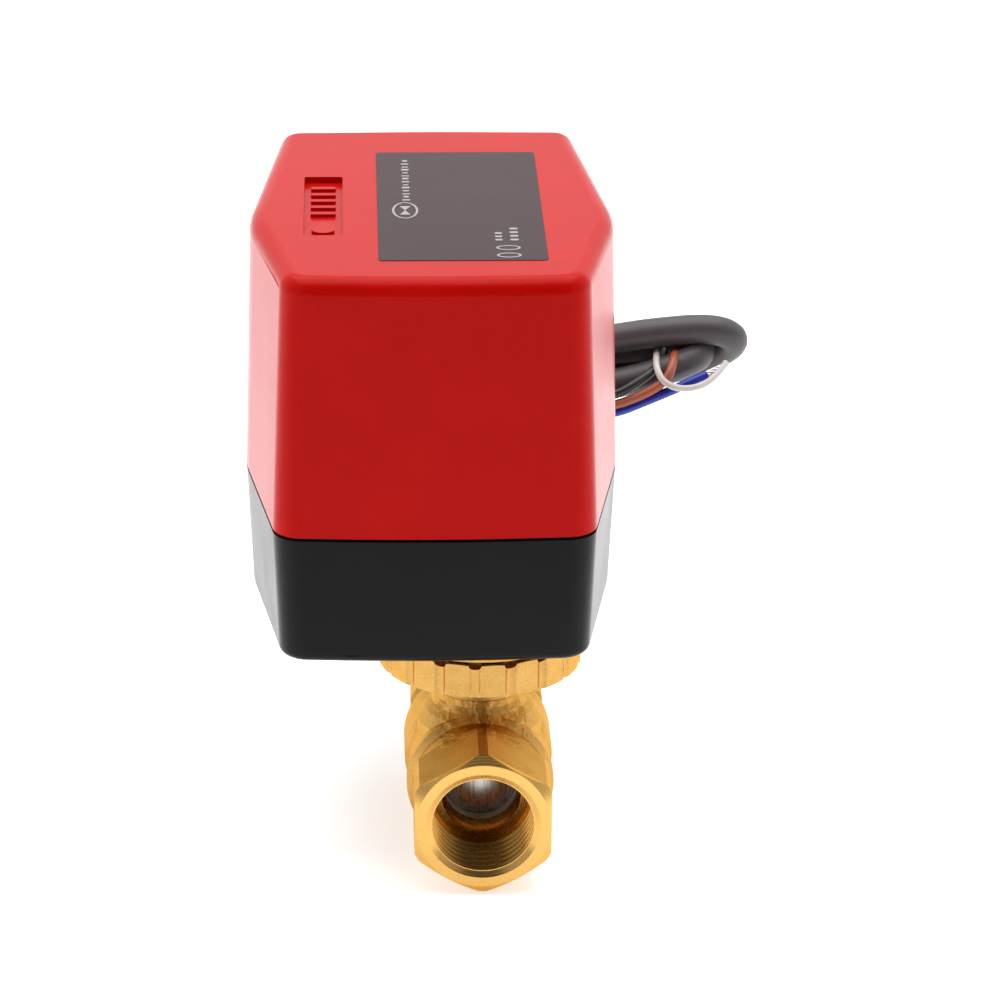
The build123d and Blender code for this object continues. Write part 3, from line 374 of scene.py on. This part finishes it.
SHEATH = [
    (-12, 96, 41), (-12, 109, 41), (-8.5, 120, 39.6), (3.5, 125.6, 37),
    # first turn, at the right end
    (27.9, 126.2, 37.1), (36.2, 126.3, 38.8), (42.4, 126.9, 40.6), (46.5, 128.3, 41.8),
    (48.9, 130.4, 42.5), (49.0, 133.8, 43.1), (46.4, 135.4, 42.9), (42, 135.6, 42.4),
    (36.7, 135.6, 41.8), (28.4, 135.4, 41.1),
    # back behind the housing and round the left end
    (0, 135.4, 41.1), (-16, 136, 40.8), (-31, 138.4, 39.1), (-40, 138.4, 42.6),
    (-39.5, 133.4, 48.1), (-29, 130.8, 47.6), (-14, 130.8, 46), (2, 130.8, 45.4),
    # the outer turn, on top, which comes back behind and below
    (28, 130.8, 45.4), (36.3, 130.9, 46.8), (41.5, 130.9, 47.4), (48.2, 130.9, 48.0),
    (53.4, 131, 47.5), (56.2, 132, 45.4), (55.2, 134.6, 42.4), (51.4, 136.2, 39.8),
    (45.6, 135.6, 37.8), (36.8, 134.7, 36.5), (28.4, 134.4, 35.4),
    # round the left end again, to where the sheath stops
    (0, 134.4, 35.4), (-16, 134.4, 34.8), (-31, 133.9, 33), (-40, 130.4, 31.4),
    (-40, 123.4, 30.4), (-30, 120.4, 30.8), (-16, 120.8, 30.9), (-2, 121.4, 31.2),
    (8, 121.4, 31.8),
]
BLUE = [
    (6, 122.4, 30.9), (14, 121.3, 30.9), (30.3, 120.3, 33.2), (37.0, 120.3, 36.1),
    (43.4, 120.8, 38.7), (47.2, 121.6, 40.2), (49.6, 122.8, 40.9),
]
BROWN = [
    (6, 120.4, 31.0), (14, 120.0, 32.2), (30.3, 119.9, 35.2), (36.3, 119.9, 37.5),
    (41, 120.4, 40.2), (42.6, 122.6, 42.9), (43.4, 127.5, 44), (44, 131.2, 42.4),
]
BLACK = [
    (6, 121.4, 32.8), (14, 121.2, 34.2), (30.3, 119.9, 37.3), (34.8, 121.0, 39.6),
    (39.1, 123.6, 41.7), (41, 130.1, 41.9), (41.5, 132.3, 42.4),
]
TIE = [
    (22, 130.6, 43.0), (22, 126.0, 42.0), (22, 121.0, 39.0), (22, 120.6, 32.4),
    (22, 127.0, 29.8), (22.4, 136.5, 29.9), (22.8, 141.0, 37.0), (23, 139.5, 45.5),
    (23.2, 132.5, 51.4), (23.6, 125.6, 49.0), (24.5, 125.6, 42.6), (26, 129.6, 38.6),
    (30, 130.4, 36.8), (36, 130.6, 37.4), (39.8, 132, 39.8), (40.1, 132.6, 42.9),
    (39.4, 126.2, 43.3), (39.3, 121.7, 42.4), (40.6, 119.6, 40.4), (44.1, 119.0, 39.1),
    (48.4, 119.7, 39.5), (51.8, 122.4, 40.9), (53.9, 125.4, 42.6),
]


def smooth_line(name, points, diameter, slot, replaces=()):
    """A round cord on one smooth line with those control points, in millimetres."""
    curve = bpy.data.curves.new(name, "CURVE")
    curve.dimensions = "3D"
    curve.resolution_u = 10
    curve.bevel_depth = diameter / 2 * MM
    curve.bevel_resolution = 6
    curve.use_fill_caps = True
    line = curve.splines.new("NURBS")
    line.points.add(len(points) - 1)
    for knot, point in zip(line.points, points):
        knot.co = (*mm(*point), 1.0)
    line.order_u = 3
    line.use_endpoint_u = True
    curve.materials.append(FINISHES[slot].material)
    cord = bpy.data.objects.new(name, curve)
    scene.collection.objects.link(cord)
    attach(cord, "housing")
    if replaces:
        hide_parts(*replaces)
    return cord


def stripped_tips():
    """The twisted bare strands at the end of each core."""
    curve = bpy.data.curves.new("stripped_tips", "CURVE")
    curve.dimensions = "3D"
    curve.bevel_depth = 0.27 * MM
    curve.bevel_resolution = 3
    curve.use_fill_caps = True
    for route, length in ((BLUE, 4.4), (BROWN, 2.6), (BLACK, 2.6)):
        start = mm(*route[-1])
        way = (start - mm(*route[-2])).normalized()
        side = way.cross(Vector((0, 0, 1))).normalized()
        other = way.cross(side)
        for strand in range(7):
            turn_r = 0.52 * MM if strand else 0.0
            line = curve.splines.new("NURBS")
            line.points.add(7)
            for step, knot in enumerate(line.points):
                angle = 2 * pi * strand / 6 + step * 0.5
                offset = (side * cos(angle) + other * sin(angle)) * turn_r
                knot.co = (*(start + way * (length * step / 7 - 0.6) * MM + offset), 1.0)
            line.order_u = 3
            line.use_endpoint_u = True
    curve.materials.append(FINISHES["tinned_copper"].material)
    tips = bpy.data.objects.new("stripped_tips", curve)
    scene.collection.objects.link(tips)
    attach(tips, "housing")
    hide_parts("wire_tips")
    return tips


sheath = smooth_line("sheath", SHEATH, 6.2, "black_sheath", ["cable_lead", "cable_hank"])
blue_core = smooth_line("blue_core", BLUE, 2.0, "blue_insulation", ["blue_wire"])
brown_core = smooth_line("brown_core", BROWN, 1.9, "brown_insulation", ["brown_wire"])
black_core = smooth_line("black_core", BLACK, 1.9, "black_insulation", ["black_wire"])
tie = smooth_line("tie", TIE, 1.4, "tie_skin", ["cable_tie"])
tips = stripped_tips()


# ---------------------------------------------------------------- label


def mesh_piece(name, mesh, slot, body="housing", replaces=()):
    data = bpy.data.meshes.new(name)
    mesh.to_mesh(data)
    mesh.free()
    data.materials.append(FINISHES[slot].material)
    piece = bpy.data.objects.new(name, data)
    scene.collection.objects.link(piece)
    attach(piece, body)
    if replaces:
        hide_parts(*replaces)
    return piece


def outline_slab(mesh, outline, low, high, edge=0.0):
    """A flat slab with that outline in millimetres, its top edge eased by edge."""
    rings = [(low, 0.0), (high - edge, 0.0), (high, edge)] if edge else [(low, 0.0), (high, 0.0)]
    centre = Vector((sum(x for x, _ in outline), sum(y for _, y in outline))) / len(outline)
    made = []
    for z, inset in rings:
        ring = []
        for x, y in outline:
            inward = (centre - Vector((x, y))).normalized() * inset
            ring.append(mesh.verts.new(mm(x + inward.x, y + inward.y, z)))
        made.append(ring)
    for lower, upper in zip(made, made[1:]):
        for i in range(len(outline)):
            j = (i + 1) % len(outline)
            mesh.faces.new((lower[i], lower[j], upper[j], upper[i]))
    mesh.faces.new(made[-1])
    mesh.faces.new(list(reversed(made[0])))


def rounded_rectangle(x0, x1, y0, y1, radius, steps=6):
    corners = [
        (x1 - radius, y1 - radius, 0),
        (x0 + radius, y1 - radius, 90),
        (x0 + radius, y0 + radius, 180),
        (x1 - radius, y0 + radius, 270),
    ]
    outline = []
    for x, y, start in corners:
        for step in range(steps + 1):
            angle = radians(start + 90 * step / steps)
            outline.append((x + radius * cos(angle), y + radius * sin(angle)))
    return outline


low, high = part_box("type_label")
left, near, label_low = (value / MM for value in low)
right_edge, far, label_high = (value / MM for value in high)
film = bmesh.new()
film_outline = rounded_rectangle(left, right_edge, near, far, 0.8)
outline_slab(film, film_outline, label_low, label_high - 0.04, 0.12)
mesh_piece("label_film", film, "label_film", replaces=["type_label"])

ink = bmesh.new()
ink_low, ink_high = label_high - 0.06, label_high


def ink_bar(x0, x1, y0, y1):
    corner_r = min(x1 - x0, y1 - y0) * 0.3
    outline_slab(ink, rounded_rectangle(x0, x1, y0, y1, corner_r, 3), ink_low, ink_high)


def ink_ring(x, y, half_x, half_y, width, steps=32):
    circles = []
    for inset in (0.0, width):
        turns = [2 * pi * i / steps for i in range(steps)]
        wide, tall = half_x - inset, half_y - inset
        points = [(x + wide * cos(turn), y + tall * sin(turn)) for turn in turns]
        circles.append([ink.verts.new(mm(*point, ink_high)) for point in points])
    outer, inner = circles
    for i in range(steps):
        j = (i + 1) % steps
        ink.faces.new((outer[i], outer[j], inner[j], inner[i]))


# along the left edge: a valve sign in an oval, and a row of graded bars
sign_x, sign_y = left + 5.1, near + 27.4
ink_ring(sign_x, sign_y, 2.4, 4.6, 0.42)
for way in (-1, 1):
    base_y = sign_y + way * 2.4
    triangle = [(sign_x, sign_y), (sign_x - 1.0, base_y), (sign_x + 1.0, base_y)]
    outline_slab(ink, triangle[::way], ink_low, ink_high)
for i in range(14):
    half, wide = (0.72, 0.5, 0.72, 0.6)[i % 4], (0.75, 1.0, 0.6)[i % 3]
    bar_y = near + 33.0 + 1.76 * i
    ink_bar(left + 5.4 - half, left + 5.4 + half, bar_y, bar_y + wide)
# at the lower right: two oval signs and two short columns of bars
for y in (2.6, 6.6):
    ink_ring(right_edge - 6.9, near + y, 2.2, 1.3, 0.42)
for i in range(4):
    ink_bar(right_edge - 6.4, right_edge - 4.9, near + 10.5 + 2.0 * i, near + 11.5 + 2.0 * i)
for i in range(3):
    ink_bar(right_edge - 9.1, right_edge - 7.8, near + 10.5 + 1.8 * i, near + 11.4 + 1.8 * i)
printing = mesh_piece("label_print", ink, "label_film")
label_ink = moulded("label ink", (0.36, 0.33, 0.34), roughness=0.35, grain=0.6, depth=0.004)
printing.data.materials[0] = label_ink.material


# ---------------------------------------------------------------- stage and light

floor_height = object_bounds()[0][2] - 0.0002
mesh = bpy.data.meshes.new("floor")
floor_corners = ((-3.0, -3.0), (3.0, -3.0), (3.0, 3.0), (-3.0, 3.0))
mesh.from_pydata([(x, y, floor_height) for x, y in floor_corners], [], [(0, 1, 2, 3)])
floor = bpy.data.objects.new("floor", mesh)
scene.collection.objects.link(floor)
paper = Finish("paper", (0.93, 0.93, 0.93), roughness=0.9)
paper.tint(paper.math("MULTIPLY", paper.noise(60.0), 0.04), (0.90, 0.90, 0.90))
paper.shader.inputs["Emission Color"].default_value = (1.0, 1.0, 1.0, 1.0)
# the glow of the paper fades out in front of the part, in millimetres along Y
glow = paper.span(paper.axis("Y"), -150.0, -45.0, top=0.50)
paper.feed(paper.shader.inputs["Emission Strength"], glow)
mesh.materials.append(paper.material)


def softbox(name, place, target, width, height, watts):
    light = bpy.data.lights.new(name, "AREA")
    light.shape, light.size, light.size_y, light.energy = "RECTANGLE", width, height, watts
    lamp = bpy.data.objects.new(name, light)
    scene.collection.objects.link(lamp)
    lamp.location = place
    lamp.rotation_euler = (Vector(target) - Vector(place)).to_track_quat("-Z", "Y").to_euler()


middle = (0.0, 0.05, 0.05)
softbox("overhead", (0.0, 0.25, 1.1), middle, 1.2, 1.2, 10.4)
softbox("front_left", (-0.8, -0.9, 0.55), middle, 0.7, 0.9, 0.9)
softbox("front_right", (0.9, -0.8, 0.45), middle, 0.7, 0.9, 0.8)
softbox("right_side", (1.1, 0.2, 0.15), (0.04, 0.1, 0.04), 0.5, 0.5, 0.15)
softbox("left_side", (-1.1, 0.2, 0.15), (-0.04, 0.06, 0.04), 0.5, 0.5, 0.2)

world = bpy.data.worlds.new("studio")
scene.world = world
world.use_nodes = True
tree = world.node_tree
background = tree.nodes["Background"]
direction = tree.nodes.new("ShaderNodeTexCoord")
split = tree.nodes.new("ShaderNodeSeparateXYZ")
tree.links.new(direction.outputs["Generated"], split.inputs[0])
brightness = tree.nodes.new("ShaderNodeMapRange")
brightness.inputs["From Min"].default_value, brightness.inputs["From Max"].default_value = -0.7, 0.1
brightness.inputs["To Min"].default_value, brightness.inputs["To Max"].default_value = 0.06, 1.12
tree.links.new(split.outputs["Y"], brightness.inputs["Value"])
background.inputs["Color"].default_value = (1.0, 1.0, 1.0, 1.0)
tree.links.new(brightness.outputs[0], background.inputs["Strength"])
